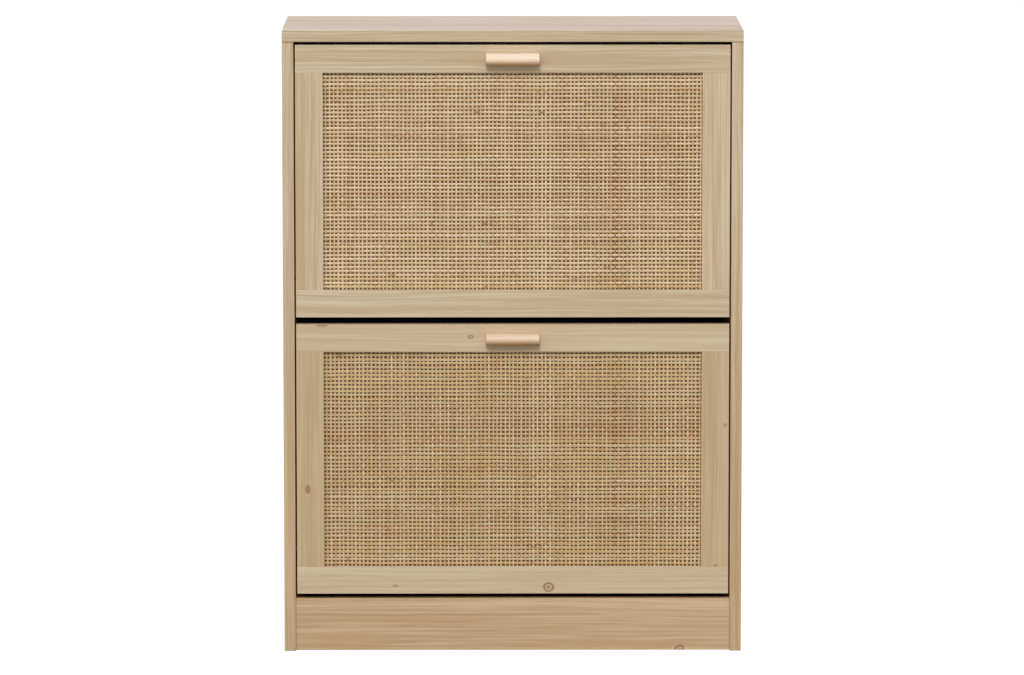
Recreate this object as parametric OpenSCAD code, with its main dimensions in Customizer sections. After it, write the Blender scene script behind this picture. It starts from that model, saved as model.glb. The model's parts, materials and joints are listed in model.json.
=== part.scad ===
// Two-door tilt-out shoe cabinet: a board carcass on a plinth, and two flip drawers with
// framed cane fronts. The front faces -Y and the floor is at Z = 0. Each drawer is drawn
// about its own pivot line: Y runs back from the pivots and Z runs up from them.

/* [Cabinet] */
// Outer width of the carcass
cabinet_w = 600; // [500:10:800]
// Height to the top face
cabinet_h = 818; // [760:2:900]
// Depth of the carcass, without the handles
cabinet_d = 240; // [230:5:300]
// Thickness of the carcass boards
board_t = 15; // [15:0.5:18]
// Thickness of the hardboard back
back_t = 3; // [2.5:0.5:4]
// Height of the plinth's top edge
plinth_h = 70; // [60:1:90]
// Air under the plinth, so that the side panels alone bear on the floor
plinth_lift = 1; // [0:0.5:3]
// How far the plinth stands back from the front edges
plinth_setback = 2; // [0:0.5:10]
// Height of the two rails across the back
rail_h = 60; // [50:5:70]
// Distance between the two holes for wall screws
wall_hole_spacing = 400; // [300:10:420]
// Diameter of a wall screw hole
wall_hole_d = 5; // [4:0.5:6]

/* [Fronts] */
// Thickness of the frame around each front
front_t = 16; // [15:0.5:20]
// Width of the rails and stiles
frame_w = 36; // [30:1:50]
// Gap beside each front
side_gap = 2; // [1:0.25:3]
// Gap over the upper front
top_gap = 4; // [2:0.5:6]
// Gap between the two fronts
middle_gap = 9.5; // [8:0.5:12]
// Gap between the lower front and the plinth
base_gap = 6.5; // [5.5:0.5:10]
// Wood left in front of the cane panel
lip_t = 6; // [5:0.5:7]
// Width of the rebate that the cane panel lies in
rebate_w = 10; // [8:1:12]
// Thickness of the cane webbing
cane_t = 2.5; // [1.5:0.5:2.5]
// Thickness of the hardboard behind the cane
backing_t = 3; // [2:0.5:3]

/* [Handles] */
// Length of a handle
handle_l = 70; // [60:5:120]
// Height of a handle
handle_h = 16; // [14:0.5:20]
// How far a handle stands out of its front
handle_proj = 20; // [16:1:30]

/* [Flip drawers] */
// Distance of the pivots behind the front face
pivot_back = 22; // [22:1:26]
// Height of the pivots over the front's lower edge
pivot_up = 55; // [50:1:60]
// Angle that a drawer opens to
open_angle = 48; // [30:1:48]
// Thickness of the boards inside a drawer
shelf_t = 9; // [8:0.5:10]
// Height of the rear shoe floor over the front one
rear_step = 60; // [60:5:90]
// Width of the air around the drawer where it swings past the carcass
swing_air = 13; // [10:1:20]

/* [Brackets] */
// Thickness of a side bracket's plate
plate_t = 3; // [2.5:0.5:3.5]
// Diameter of a pivot pin
pin_d = 6; // [5:0.5:6]
// Distance of the stop pin from the pivot
stop_r = 60; // [56:1:64]

/* [Hidden] */
$fn = 48;
upper_parts = ["top_rail", "bottom_rail", "left_stile", "right_stile", "frame_dowels",
    "cane_panel", "cane_backing", "panel_beads", "bead_pins", "handle", "handle_screws",
    "left_bracket", "right_bracket", "bracket_screws",
    "front_floor", "divider", "rear_floor", "rear_board"];

board_colour = "#c9b493";
front_colour = "#c5ae8b";
handle_colour = "#dcc29e";
cane_colour = "#b4986f";
hardboard_colour = "#6e5844";
plastic_colour = "#26262a";
zinc_colour = "#b9bcc0";
dowel_colour = "#dcc9a0";

front_y = -(cabinet_d + handle_proj) / 2 + handle_proj;
back_y = front_y + cabinet_d;
inner_x = cabinet_w / 2 - board_t;
side_mid_x = cabinet_w / 2 - board_t / 2;
panel_z = cabinet_h - board_t;
rebate_side = 8;
back_gap = 0.5;
rail_back_y = back_y - back_t;
rail_mid_y = rail_back_y - board_t / 2;
plinth_y = front_y + plinth_setback;
plinth_mid_y = plinth_y + board_t / 2;
bottom_z = plinth_h - 30;
bottom_mid_z = bottom_z + board_t / 2;
bottom_y = plinth_y + board_t;

front_w = 2 * (inner_x - side_gap);
front_h = (panel_z - top_gap - middle_gap - base_gap - plinth_h) / 2;
lower_front_z = plinth_h + base_gap;
upper_front_z = lower_front_z + front_h + middle_gap;
middle_rail_z = upper_front_z - middle_gap - 16;
pivot_y = front_y + pivot_back;
lower_pivot_z = lower_front_z + pivot_up;
upper_pivot_z = upper_front_z + pivot_up;

// Drawer frame: the front's faces and edges measured from the pivot
face_y = -pivot_back;
rear_y = face_y + front_t;
low_z = -pivot_up;
high_z = low_z + front_h;
open_low_z = low_z + frame_w;
open_high_z = high_z - frame_w;
open_x = front_w / 2 - frame_w;
cane_y = face_y + lip_t;
backing_y = cane_y + cane_t;
bead_y = backing_y + backing_t;
bead_t = rear_y - bead_y;
pocket_x = open_x + rebate_w;
pocket_low_z = open_low_z - rebate_w;
pocket_high_z = open_high_z + rebate_w;
bead_pin_l = 8;
bead_pin_r = 0.6;

// Drawer frame: the brackets and the boards between them
plate_x = front_w / 2 - plate_t;
rib_t = 2.5;
rib_l = 8;
board_end_x = plate_x - 0.3;
flange_w = 20;
flange_t = 3;
floor_z = -15;
floor_y = rear_y + flange_t + 0.5;
drawer_back_y = cabinet_d - pivot_back - back_t - board_t - 10;
divider_y = floor_y + (drawer_back_y - floor_y) / 2 - shelf_t;
rear_floor_z = floor_z + rear_step;
swing_r = high_z + top_gap - swing_air;
rear_top_z = sqrt(pow(swing_r, 2) - pow(drawer_back_y + rib_t, 2)) - rib_t;
divider_top_z = sqrt(pow(swing_r, 2) - pow(divider_y + shelf_t + rib_t, 2)) - rib_t - 15;
plate_low_z = floor_z - rib_t - 4.5;
plate_high_z = divider_top_z + rib_t + 4;

// Pivot pins, bushes and stop pins
pin_clearance = 0.05;
bush_r = pin_d / 2 + 2;
bush_l = 10;
bush_flange_r = bush_r + 3;
bush_flange_t = 1;
stop_pin_r = 3;
stop_angle = 55;
slot_air = 0.3;
slot_r = stop_pin_r + slot_air;
slot_over = slot_air / stop_r * 180 / PI;

// Fasteners
fit = 0.1;
cam_r = 7.5;
cam_depth = 12;
cam_in = 24;
bolt_thread_r = 2.5;
bolt_thread_l = 11;
bolt_shank_r = 2.2;
bolt_head_r = 3.4;
bolt_bore_r = 3.7;
dowel_r = 4;
dowel_in_face = 10;
dowel_in_edge = 20;
frame_dowel_r = 3;
frame_dowel_l = 30;
nail_r = 0.8;
nail_l = 18;
nail_head_r = 2;
nail_head_t = 0.6;
bracket_screw_x = plate_x - 9.5;
bracket_screw_zs = [25, 130, 0.67 * front_h];
handle_screw_xs = [-20, 20];
handle_screw_l = 28;
handle_z = high_z - frame_w / 2;

// Each joint is [place, turn]. Its bolt or dowel runs along local +Z into a board's edge,
// and a cam's face is towards local +Y.
top_turn = function(s) [180, 0, -90 * s];
under_turn = function(s) [-90, 0, 90 * s];
back_turn = function(s) [0, -90 * s, 0];
cam_joints = [for (s = [-1, 1])
    each concat(
        [for (y = [front_y + 40, back_y - 40]) [[s * side_mid_x, y, panel_z], top_turn(s)]],
        [for (y = [front_y + 50, back_y - 40]) [[s * inner_x, y, bottom_mid_z], under_turn(s)]],
        [[[s * inner_x, plinth_mid_y, plinth_h - 41], back_turn(s)],
            [[s * inner_x, rail_mid_y, panel_z - rail_h + 15], back_turn(s)],
            [[s * inner_x, rail_mid_y, middle_rail_z + 15], back_turn(s)]])];
dowel_joints = [for (s = [-1, 1])
    each concat(
        [for (y = [front_y + 80, back_y - 80]) [[s * side_mid_x, y, panel_z], top_turn(s)]],
        [[[s * inner_x, front_y + 125, bottom_mid_z], under_turn(s)],
            [[s * inner_x, plinth_mid_y, plinth_h - 13], back_turn(s)],
            [[s * inner_x, rail_mid_y, panel_z - 15], back_turn(s)],
            [[s * inner_x, rail_mid_y, middle_rail_z + rail_h - 15], back_turn(s)]])];
back_join_z = middle_rail_z + rail_h / 2;
nail_xs = [for (i = [-2 : 2]) i * (inner_x - 15) / 2];
nail_places = concat(
    [for (x = nail_xs) each [[x, panel_z + rebate_side / 2], [x, bottom_mid_z]]],
    [for (i = [-1.5 : 1.5], dz = [-10, 10]) [i * 150, back_join_z + dz]],
    [for (s = [-1, 1], z = [110, 220, 330, 500, 600, 700])
        [s * (inner_x + rebate_side / 2), z]]);

module box(low, high) {
    translate(low) cube(high - low);
}

module at(joints) {
    for (joint = joints) translate(joint[0]) rotate(joint[1]) children();
}

module both_sides() {
    children();
    mirror([1, 0, 0]) children();
}

// Draws a profile given as [Y, Z] and gives it a thickness along +X
module side_profile(x, thickness) {
    translate([x, 0, 0]) rotate([90, 0, 90]) linear_extrude(thickness) children();
}

module rod_y(x, y0, y1, z, r) {
    translate([x, y0, z]) rotate([-90, 0, 0]) cylinder(r = r, h = y1 - y0);
}

module rod_x(x0, x1, y, z, r) {
    translate([x0, y, z]) rotate([0, 90, 0]) cylinder(r = r, h = x1 - x0);
}

// Fasteners of the carcass, and the holes that they need
module cam_bolt() {
    translate([0, 0, -bolt_thread_l]) cylinder(r = bolt_thread_r, h = bolt_thread_l);
    cylinder(r = bolt_shank_r, h = cam_in - 2);
    translate([0, 0, cam_in - 2]) cylinder(r = bolt_head_r, h = 3);
}

module cam_lock() {
    difference() {
        translate([0, board_t / 2 - cam_depth, cam_in]) rotate([-90, 0, 0])
            cylinder(r = cam_r, h = cam_depth);
        cylinder(r = bolt_bore_r, h = cam_in + 2);
        for (turn = [0, 90]) translate([0, board_t / 2, cam_in]) rotate([0, turn, 0])
            cube([8, 3, 1.6], center = true);
    }
}

module dowel(r, low, high) {
    translate([0, 0, -low]) cylinder(r = r, h = low + high);
}

module nail() {
    rod_y(0, back_y - nail_l, back_y - nail_head_t, 0, nail_r);
    rod_y(0, back_y - nail_head_t, back_y, 0, nail_head_r);
}

module cam_holes() {
    at(cam_joints) {
        translate([0, 0, -bolt_thread_l - fit]) cylinder(r = bolt_thread_r + fit, h = bolt_thread_l + fit);
        cylinder(r = bolt_bore_r, h = cam_in + 2);
        translate([0, board_t / 2 - cam_depth - fit, cam_in]) rotate([-90, 0, 0])
            cylinder(r = cam_r + fit, h = cam_depth + 1);
    }
    at(dowel_joints) dowel(dowel_r + fit, dowel_in_face + fit, dowel_in_edge + fit);
}

module nail_holes() {
    for (p = nail_places) {
        rod_y(p[0], back_y - nail_l - fit, back_y + 1, p[1], nail_r + fit);
        rod_y(p[0], back_y - nail_head_t - fit, back_y + 1, p[1], nail_head_r + fit);
    }
}

module wall_holes() {
    for (s = [-1, 1])
        rod_y(s * wall_hole_spacing / 2, rail_back_y - board_t - 1, back_y + 1, panel_z - rail_h / 2,
            wall_hole_d / 2);
}

module pivot_and_stop_holes() {
    for (z = [lower_pivot_z, upper_pivot_z]) {
        rod_x(inner_x - 1, inner_x + bush_l + fit, pivot_y, z, bush_r + fit);
        rod_x(inner_x - 1, inner_x + bush_l + fit, pivot_y + stop_r * cos(stop_angle),
            z + stop_r * sin(stop_angle), stop_pin_r + fit);
    }
}

// Carcass
module top_panel() {
    color(board_colour) difference() {
        box([-cabinet_w / 2, front_y, panel_z], [cabinet_w / 2, back_y, cabinet_h]);
        box([-inner_x - rebate_side, rail_back_y, panel_z - 1],
            [inner_x + rebate_side, back_y + 1, panel_z + rebate_side]);
        cam_holes();
        nail_holes();
    }
}

module right_side_panel() {
    color(board_colour) difference() {
        box([inner_x, front_y, 0], [cabinet_w / 2, back_y, panel_z]);
        box([inner_x - 1, rail_back_y, -1], [inner_x + rebate_side, back_y + 1, panel_z + 1]);
        cam_holes();
        nail_holes();
        pivot_and_stop_holes();
    }
}

module left_side_panel() {
    mirror([1, 0, 0]) right_side_panel();
}

module bottom_panel() {
    color(board_colour) difference() {
        box([-inner_x, bottom_y, bottom_z], [inner_x, rail_back_y, bottom_z + board_t]);
        cam_holes();
        nail_holes();
    }
}

module plinth() {
    color(board_colour) difference() {
        box([-inner_x, plinth_y, plinth_lift], [inner_x, plinth_y + board_t, plinth_h]);
        cam_holes();
    }
}

module rear_rail(z) {
    color(board_colour) difference() {
        box([-inner_x, rail_back_y - board_t, z], [inner_x, rail_back_y, z + rail_h]);
        cam_holes();
        nail_holes();
        wall_holes();
    }
}

module back_panel(low_z, high_z) {
    x = inner_x + rebate_side - back_gap;
    color(hardboard_colour) difference() {
        box([-x, rail_back_y, low_z], [x, back_y, high_z]);
        nail_holes();
        wall_holes();
    }
}

module cam_locks() {
    color(zinc_colour) at(cam_joints) cam_lock();
}

module cam_bolts() {
    color(zinc_colour) at(cam_joints) cam_bolt();
}

module dowels() {
    color(dowel_colour) at(dowel_joints) dowel(dowel_r, dowel_in_face, dowel_in_edge);
}

module back_panel_nails() {
    color(zinc_colour) for (p = nail_places) translate([p[0], 0, p[1]]) nail();
}

module pivot_bushes() {
    color(plastic_colour) both_sides() for (z = [lower_pivot_z, upper_pivot_z]) difference() {
        union() {
            rod_x(inner_x, inner_x + bush_l, pivot_y, z, bush_r);
            rod_x(inner_x - bush_flange_t, inner_x, pivot_y, z, bush_flange_r);
        }
        rod_x(inner_x - bush_flange_t - 1, inner_x + bush_l + 1, pivot_y, z, pin_d / 2 + pin_clearance);
    }
}

module stop_pins() {
    color(zinc_colour) both_sides() for (z = [lower_pivot_z, upper_pivot_z])
        rod_x(plate_x - 2, inner_x + bush_l, pivot_y + stop_r * cos(stop_angle),
            z + stop_r * sin(stop_angle), stop_pin_r);
}

// Framed front, in the drawer's own frame
module panel_pocket() {
    box([-pocket_x, cane_y, pocket_low_z], [pocket_x, rear_y + 1, pocket_high_z]);
}

module frame_dowel_set(r, extra) {
    for (s = [-1, 1], dx = [-6.5, 6.5], z = [open_low_z, open_high_z])
        translate([s * (front_w / 2 - 14 + dx), face_y + front_t / 2, z])
            dowel(r, frame_dowel_l / 2 + extra, frame_dowel_l / 2 + extra);
}

module bracket_screw_set(extra) {
    for (s = [-1, 1], z = bracket_screw_zs) {
        rod_y(s * bracket_screw_x, rear_y - 12 - extra, rear_y + flange_t, z, 1.75 + extra);
        rod_y(s * bracket_screw_x, rear_y + flange_t, rear_y + flange_t + 2.2, z, 3.5);
    }
}

module handle_screw_set(extra) {
    for (x = handle_screw_xs) {
        rod_y(x, rear_y - handle_screw_l - extra, rear_y, handle_z, 2 + extra);
        rod_y(x, rear_y, rear_y + 2.4, handle_z, 3.8);
    }
}

module bead_pin_set(extra) {
    for (s = [-1, 1]) {
        for (i = [-2 : 2]) rod_y(i * open_x * 0.4, rear_y - bead_pin_l - extra, rear_y,
            s > 0 ? open_high_z + rebate_w / 2 : open_low_z - rebate_w / 2, bead_pin_r + extra);
        for (z = [0.2, 0.5, 0.8]) rod_y(s * (open_x + rebate_w / 2), rear_y - bead_pin_l - extra,
            rear_y, open_low_z + z * (open_high_z - open_low_z), bead_pin_r + extra);
    }
}

module front_member(low, high) {
    color(front_colour) difference() {
        box([low[0], face_y, low[1]], [high[0], rear_y, high[1]]);
        panel_pocket();
        frame_dowel_set(frame_dowel_r + fit, fit);
        bracket_screw_set(fit);
        handle_screw_set(fit);
        bead_pin_set(fit);
    }
}

module top_rail() {
    front_member([-front_w / 2, open_high_z], [front_w / 2, high_z]);
}

module bottom_rail() {
    front_member([-front_w / 2, low_z], [front_w / 2, open_low_z]);
}

module right_stile() {
    front_member([open_x, open_low_z], [front_w / 2, open_high_z]);
}

module left_stile() {
    mirror([1, 0, 0]) right_stile();
}

module frame_dowels() {
    color(dowel_colour) frame_dowel_set(frame_dowel_r, 0);
}

module pocket_sheet(y0, y1) {
    gap = 0.3;
    difference() {
        box([-pocket_x + gap, y0, pocket_low_z + gap], [pocket_x - gap, y1, pocket_high_z - gap]);
        bead_pin_set(fit);
    }
}

module cane_panel() {
    color(cane_colour) pocket_sheet(cane_y, backing_y);
}

module cane_backing() {
    color(hardboard_colour) pocket_sheet(backing_y, bead_y);
}

module panel_beads() {
    color(front_colour) difference() {
        union() {
            for (z = [pocket_low_z, open_high_z])
                box([-pocket_x, bead_y, z], [pocket_x, rear_y, z + rebate_w]);
            both_sides() box([open_x, bead_y, open_low_z + 0.2], [pocket_x, rear_y, open_high_z - 0.2]);
        }
        bead_pin_set(fit);
    }
}

module bead_pins() {
    color(zinc_colour) bead_pin_set(0);
}

module handle() {
    round_r = handle_h / 2;
    color(handle_colour) difference() {
        side_profile(-handle_l / 2, handle_l) {
            translate([face_y - handle_proj + round_r, handle_z]) circle(r = round_r);
            translate([face_y - handle_proj + round_r, handle_z - round_r])
                square([handle_proj - round_r, handle_h]);
        }
        handle_screw_set(fit);
    }
}

module handle_screws() {
    color(zinc_colour) handle_screw_set(0);
}

// Side brackets and the boards that they carry, in the drawer's own frame.
// Each board is [low Y, low Z, high Y, high Z].
front_floor_area = [floor_y, floor_z, divider_y, floor_z + shelf_t];
divider_area = [divider_y, floor_z, divider_y + shelf_t, divider_top_z];
rear_floor_area = [divider_y + shelf_t, rear_floor_z, drawer_back_y - shelf_t, rear_floor_z + shelf_t];
rear_board_area = [drawer_back_y - shelf_t, rear_floor_z, drawer_back_y, rear_top_z];
shelf_areas = [front_floor_area, divider_area, rear_floor_area, rear_board_area];

module area(a, extra = 0) {
    translate([a[0] - extra, a[1] - extra]) square([a[2] - a[0] + 2 * extra, a[3] - a[1] + 2 * extra]);
}

module plate_outline() {
    polygon([[rear_y, plate_low_z], [rear_y, plate_high_z], [rear_y + 18, plate_high_z],
        [divider_y + shelf_t + rib_t, divider_top_z + rib_t],
        [drawer_back_y + rib_t, rear_top_z + rib_t],
        [drawer_back_y + rib_t, rear_floor_z - rib_t],
        [divider_y + shelf_t + rib_t, floor_z - rib_t],
        [rear_y + 26, plate_low_z]]);
}

module stop_slot() {
    low = stop_angle - open_angle - slot_over;
    high = stop_angle + slot_over;
    translate([plate_x - rib_l - 1, 0, 0]) rotate([90, 0, 90]) {
        rotate([0, 0, low]) rotate_extrude(angle = high - low)
            translate([stop_r - slot_r, 0]) square([2 * slot_r, rib_l + plate_t + 2]);
        for (turn = [low, high]) rotate([0, 0, turn]) translate([stop_r, 0, 0])
            cylinder(r = slot_r, h = rib_l + plate_t + 2);
    }
}

module right_bracket() {
    color(plastic_colour) difference() {
        union() {
            side_profile(plate_x, plate_t) plate_outline();
            side_profile(plate_x - rib_l, rib_l) difference() {
                for (a = shelf_areas) area(a, rib_t);
                for (a = shelf_areas) area(a);
            }
            box([front_w / 2 - flange_w, rear_y, plate_low_z],
                [front_w / 2, rear_y + flange_t, plate_high_z]);
            rod_x(front_w / 2 - 1, inner_x + 8, 0, 0, pin_d / 2);
        }
        stop_slot();
        bracket_screw_set(fit);
    }
}

module left_bracket() {
    mirror([1, 0, 0]) right_bracket();
}

module bracket_screws() {
    color(zinc_colour) bracket_screw_set(0);
}

module shelf(a) {
    color(board_colour) side_profile(-board_end_x, 2 * board_end_x) area(a);
}

module in_drawer(pivot_z) {
    translate([0, pivot_y, pivot_z]) children();
}

top_panel();
left_side_panel();
right_side_panel();
bottom_panel();
plinth();
rear_rail(panel_z - rail_h);  // rear_top_rail
rear_rail(middle_rail_z);  // rear_middle_rail
back_panel(back_join_z + back_gap, panel_z + rebate_side - back_gap);  // upper_back_panel
back_panel(bottom_z - 5, back_join_z - back_gap);  // lower_back_panel
cam_locks();
cam_bolts();
dowels();
back_panel_nails();
pivot_bushes();
stop_pins();

in_drawer(upper_pivot_z) top_rail();  // upper_top_rail
in_drawer(upper_pivot_z) bottom_rail();  // upper_bottom_rail
in_drawer(upper_pivot_z) left_stile();  // upper_left_stile
in_drawer(upper_pivot_z) right_stile();  // upper_right_stile
in_drawer(upper_pivot_z) frame_dowels();  // upper_frame_dowels
in_drawer(upper_pivot_z) cane_panel();  // upper_cane_panel
in_drawer(upper_pivot_z) cane_backing();  // upper_cane_backing
in_drawer(upper_pivot_z) panel_beads();  // upper_panel_beads
in_drawer(upper_pivot_z) bead_pins();  // upper_bead_pins
in_drawer(upper_pivot_z) handle();  // upper_handle
in_drawer(upper_pivot_z) handle_screws();  // upper_handle_screws
in_drawer(upper_pivot_z) left_bracket();  // upper_left_bracket
in_drawer(upper_pivot_z) right_bracket();  // upper_right_bracket
in_drawer(upper_pivot_z) bracket_screws();  // upper_bracket_screws
in_drawer(upper_pivot_z) shelf(front_floor_area);  // upper_front_floor
in_drawer(upper_pivot_z) shelf(divider_area);  // upper_divider
in_drawer(upper_pivot_z) shelf(rear_floor_area);  // upper_rear_floor
in_drawer(upper_pivot_z) shelf(rear_board_area);  // upper_rear_board

in_drawer(lower_pivot_z) top_rail();  // lower_top_rail
in_drawer(lower_pivot_z) bottom_rail();  // lower_bottom_rail
in_drawer(lower_pivot_z) left_stile();  // lower_left_stile
in_drawer(lower_pivot_z) right_stile();  // lower_right_stile
in_drawer(lower_pivot_z) frame_dowels();  // lower_frame_dowels
in_drawer(lower_pivot_z) cane_panel();  // lower_cane_panel
in_drawer(lower_pivot_z) cane_backing();  // lower_cane_backing
in_drawer(lower_pivot_z) panel_beads();  // lower_panel_beads
in_drawer(lower_pivot_z) bead_pins();  // lower_bead_pins
in_drawer(lower_pivot_z) handle();  // lower_handle
in_drawer(lower_pivot_z) handle_screws();  // lower_handle_screws
in_drawer(lower_pivot_z) left_bracket();  // lower_left_bracket
in_drawer(lower_pivot_z) right_bracket();  // lower_right_bracket
in_drawer(lower_pivot_z) bracket_screws();  // lower_bracket_screws
in_drawer(lower_pivot_z) shelf(front_floor_area);  // lower_front_floor
in_drawer(lower_pivot_z) shelf(divider_area);  // lower_divider
in_drawer(lower_pivot_z) shelf(rear_floor_area);  // lower_rear_floor
in_drawer(lower_pivot_z) shelf(rear_board_area);  // lower_rear_board
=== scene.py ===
"""Looks of a tilt-out shoe cabinet: wood-look boards, pine front frames, woven cane,
beech handles, moulded side brackets and plated fasteners, on a plain pale floor.

Lengths are in metres. X runs to the right, the fronts face -Y, and the floor is at Z = 0.
"""

import json
import math
import random

import bpy
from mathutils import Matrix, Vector

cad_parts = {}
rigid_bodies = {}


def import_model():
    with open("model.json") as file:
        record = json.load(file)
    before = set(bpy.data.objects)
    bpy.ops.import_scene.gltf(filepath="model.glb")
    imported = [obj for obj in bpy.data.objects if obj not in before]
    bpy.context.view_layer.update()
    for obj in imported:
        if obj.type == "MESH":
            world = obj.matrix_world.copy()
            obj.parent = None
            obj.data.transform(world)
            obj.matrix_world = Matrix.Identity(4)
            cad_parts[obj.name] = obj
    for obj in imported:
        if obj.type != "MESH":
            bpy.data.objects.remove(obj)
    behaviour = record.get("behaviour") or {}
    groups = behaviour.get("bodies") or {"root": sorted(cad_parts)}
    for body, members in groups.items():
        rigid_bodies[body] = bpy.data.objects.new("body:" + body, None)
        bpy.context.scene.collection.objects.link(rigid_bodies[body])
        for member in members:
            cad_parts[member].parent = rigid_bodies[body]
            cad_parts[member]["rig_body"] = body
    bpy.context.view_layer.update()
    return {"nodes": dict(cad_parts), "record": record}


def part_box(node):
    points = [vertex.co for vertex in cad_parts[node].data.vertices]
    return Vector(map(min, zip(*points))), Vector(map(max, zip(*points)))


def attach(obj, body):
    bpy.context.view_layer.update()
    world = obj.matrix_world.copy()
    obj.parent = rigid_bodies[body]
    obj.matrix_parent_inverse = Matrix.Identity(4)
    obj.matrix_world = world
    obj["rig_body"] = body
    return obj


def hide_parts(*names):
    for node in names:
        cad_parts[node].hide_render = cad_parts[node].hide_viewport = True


bl_info = {
    "name": "Cane shoe cabinet",
    "version": (1, 0, 0),
    "blender": (4, 5, 0),
    "location": "View3D > Sidebar > Cabinet",
    "description": "Builds the finished looks of a shoe cabinet around its packed frame",
    "category": "Object",
}

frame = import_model()

MM = 0.001
DRAWERS = ("upper", "lower")


def srgb(red, green, blue):
    """A colour given as three 0 to 255 display values, in the linear values that shaders use."""
    shares = [value / 255 for value in (red, green, blue)]
    return tuple(s / 12.92 if s <= 0.04045 else ((s + 0.055) / 1.055) ** 2.4 for s in shares)


# Settings that a user would change

def length(name, description, default):
    return bpy.props.FloatProperty(name=name, description=description, default=default, unit="LENGTH",
                                   precision=5)


def tint(name, description, red, green, blue):
    return bpy.props.FloatVectorProperty(name=name, description=description, subtype="COLOR", size=3,
                                         min=0.0, max=1.0, default=srgb(red, green, blue))


class BoardSettings(bpy.types.PropertyGroup):
    pale: tint("Pale grain", "Lightest tone of the wood-look boards", 211, 192, 163)
    deep: tint("Deep grain", "Darker tone of the wood-look boards", 190, 165, 130)
    streak: tint("Streaks", "Thin brown lines in the boards' grain", 160, 122, 80)
    # Painted shade: multiplies a board's lower stretch, making it darker and warmer towards the floor
    painted_low_shade: tint("Warm stretch", "What a board's yellower stretch is multiplied by", 246, 234, 218)
    plinth: tint("Plinth", "What the plinth's tones are multiplied by", 253, 242, 226)
    ease: length("Eased edge", "Width of the tiny bevel along each board's edges", 0.6 * MM)


class FrontSettings(bpy.types.PropertyGroup):
    pale: tint("Pale grain", "Lightest tone of the pine frames", 213, 196, 167)
    deep: tint("Deep grain", "Darker tone of the pine frames", 193, 169, 134)
    streak: tint("Late wood", "Brown lines of the growth rings", 170, 132, 88)
    rails: tint("Lower rails", "What the lower rails' tones are multiplied by", 255, 254, 250)
    upper: tint("Upper stiles", "What the upper stiles' tones are multiplied by", 254, 251, 247)
    lower: tint("Lower stiles", "What the lower stiles' tones are multiplied by", 243, 234, 218)
    ease: length("Eased edge", "Width of the bevel along rails and stiles", 0.35 * MM)


class CaneSettings(bpy.types.PropertyGroup):
    warp_pitch: length("Warp pitch", "Distance between two upright strands", 5.31 * MM)
    weft_pitch: length("Weft pitch", "Distance between two level strands", 5.20 * MM)
    warp_w: length("Warp width", "Width of an upright strand", 2.2 * MM)
    weft_w: length("Weft width", "Width of a level strand", 3.0 * MM)
    strand_t: length("Strand thickness", "Thickness of one strand", 0.95 * MM)
    wave: length("Wave", "How far a strand swings to each side as it weaves", 0.5 * MM)
    cream: tint("Cream", "Colour of the palest strands", 230, 205, 169)
    straw: tint("Straw", "Colour of the usual strands", 213, 184, 138)
    amber: tint("Amber", "Colour of the warm strands", 203, 162, 109)
    brown: tint("Brown", "Colour of the deepest strands", 184, 132, 82)
    green: tint("Green", "Colour of the unripe stretches", 200, 190, 142)
    grey: tint("Grey", "Colour of the faded stretches", 168, 146, 112)
    dark: tint("Dark marks", "Colour of the stained stretches", 150, 98, 60)
    lower: tint("Lower panel", "What the lower panel's tones are multiplied by", 250, 250, 244)


class HandleSettings(bpy.types.PropertyGroup):
    pale: tint("Pale grain", "Lightest tone of the beech handles", 249, 232, 209)
    deep: tint("Deep grain", "Darker tone of the beech handles", 237, 210, 180)
    streak: tint("Streaks", "Brown lines in the beech", 186, 140, 96)
    lower: tint("Lower handle", "What the lower handle's tones are multiplied by", 235, 227, 217)
    # Painted shade: multiplies a handle's lower half so it darkens and browns below
    painted_underside_shade: tint("Underside", "What a handle's lower half is multiplied by", 207, 184, 138)
    end_round: length("End rounding", "Radius of the edge round a handle's ends", 1.2 * MM)


class InsideSettings(bpy.types.PropertyGroup):
    upper: tint("Upper backing", "Hardboard behind the upper cane", 132, 88, 58)
    upper_dark: tint("Upper backing's fibres", "Its darker fibres", 100, 64, 40)
    # Painted shade: the lower backing is the same hardboard as the upper one, coloured darker as if
    # less light reached it
    lower: tint("Lower backing", "Hardboard behind the lower cane", 112, 72, 46)
    lower_dark: tint("Lower backing's fibres", "Its darker fibres", 84, 52, 32)
    back: tint("Back panels", "Hardboard of the back panels", 58, 48, 42)
    back_dark: tint("Back panels' fibres", "Their darker fibres", 40, 33, 29)
    plastic: tint("Plastic", "Moulded brackets and bushes", 34, 34, 36)
    plastic_dark: tint("Dark plastic", "Darker patches of the brackets and bushes", 24, 24, 26)
    zinc: tint("Zinc", "Plating of the fasteners", 206, 208, 212)
    zinc_dark: tint("Dull zinc", "Duller patches of the plating", 168, 172, 180)
    ease: length("Bracket edge", "Width of the bevel along the brackets' edges", 0.3 * MM)


class StageSettings(bpy.types.PropertyGroup):
    lens: bpy.props.FloatProperty(name="Lens", description="Focal length of the camera", default=211.0,
                                  unit="CAMERA")
    distance: length("Distance", "From the camera to the front edges of the cabinet", 7.775)
    height: length("Height", "Height of the camera over the floor", 1.4457)
    aside: length("Aside", "How far the camera stands to the left of the middle", 0.0355)
    pitch: bpy.props.FloatProperty(name="Pitch", description="How far the camera looks down",
                                   default=0.13168, unit="ROTATION")
    turn: bpy.props.FloatProperty(name="Turn", description="How far the camera turns to the right",
                                  default=0.00444, unit="ROTATION")
    floor_tone: tint("Floor", "Colour of the plain floor", 160, 156, 150)
    floor_glow: bpy.props.FloatProperty(name="Floor glow", default=0.75, min=0.0, max=1.0,
                                        description="Share of the seen floor that is plain white")


def settings(name):
    """The scene's settings of one group, such as board or cane."""
    return getattr(bpy.context.scene, "shoe_cabinet_" + name)


# Shader nodes

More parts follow.
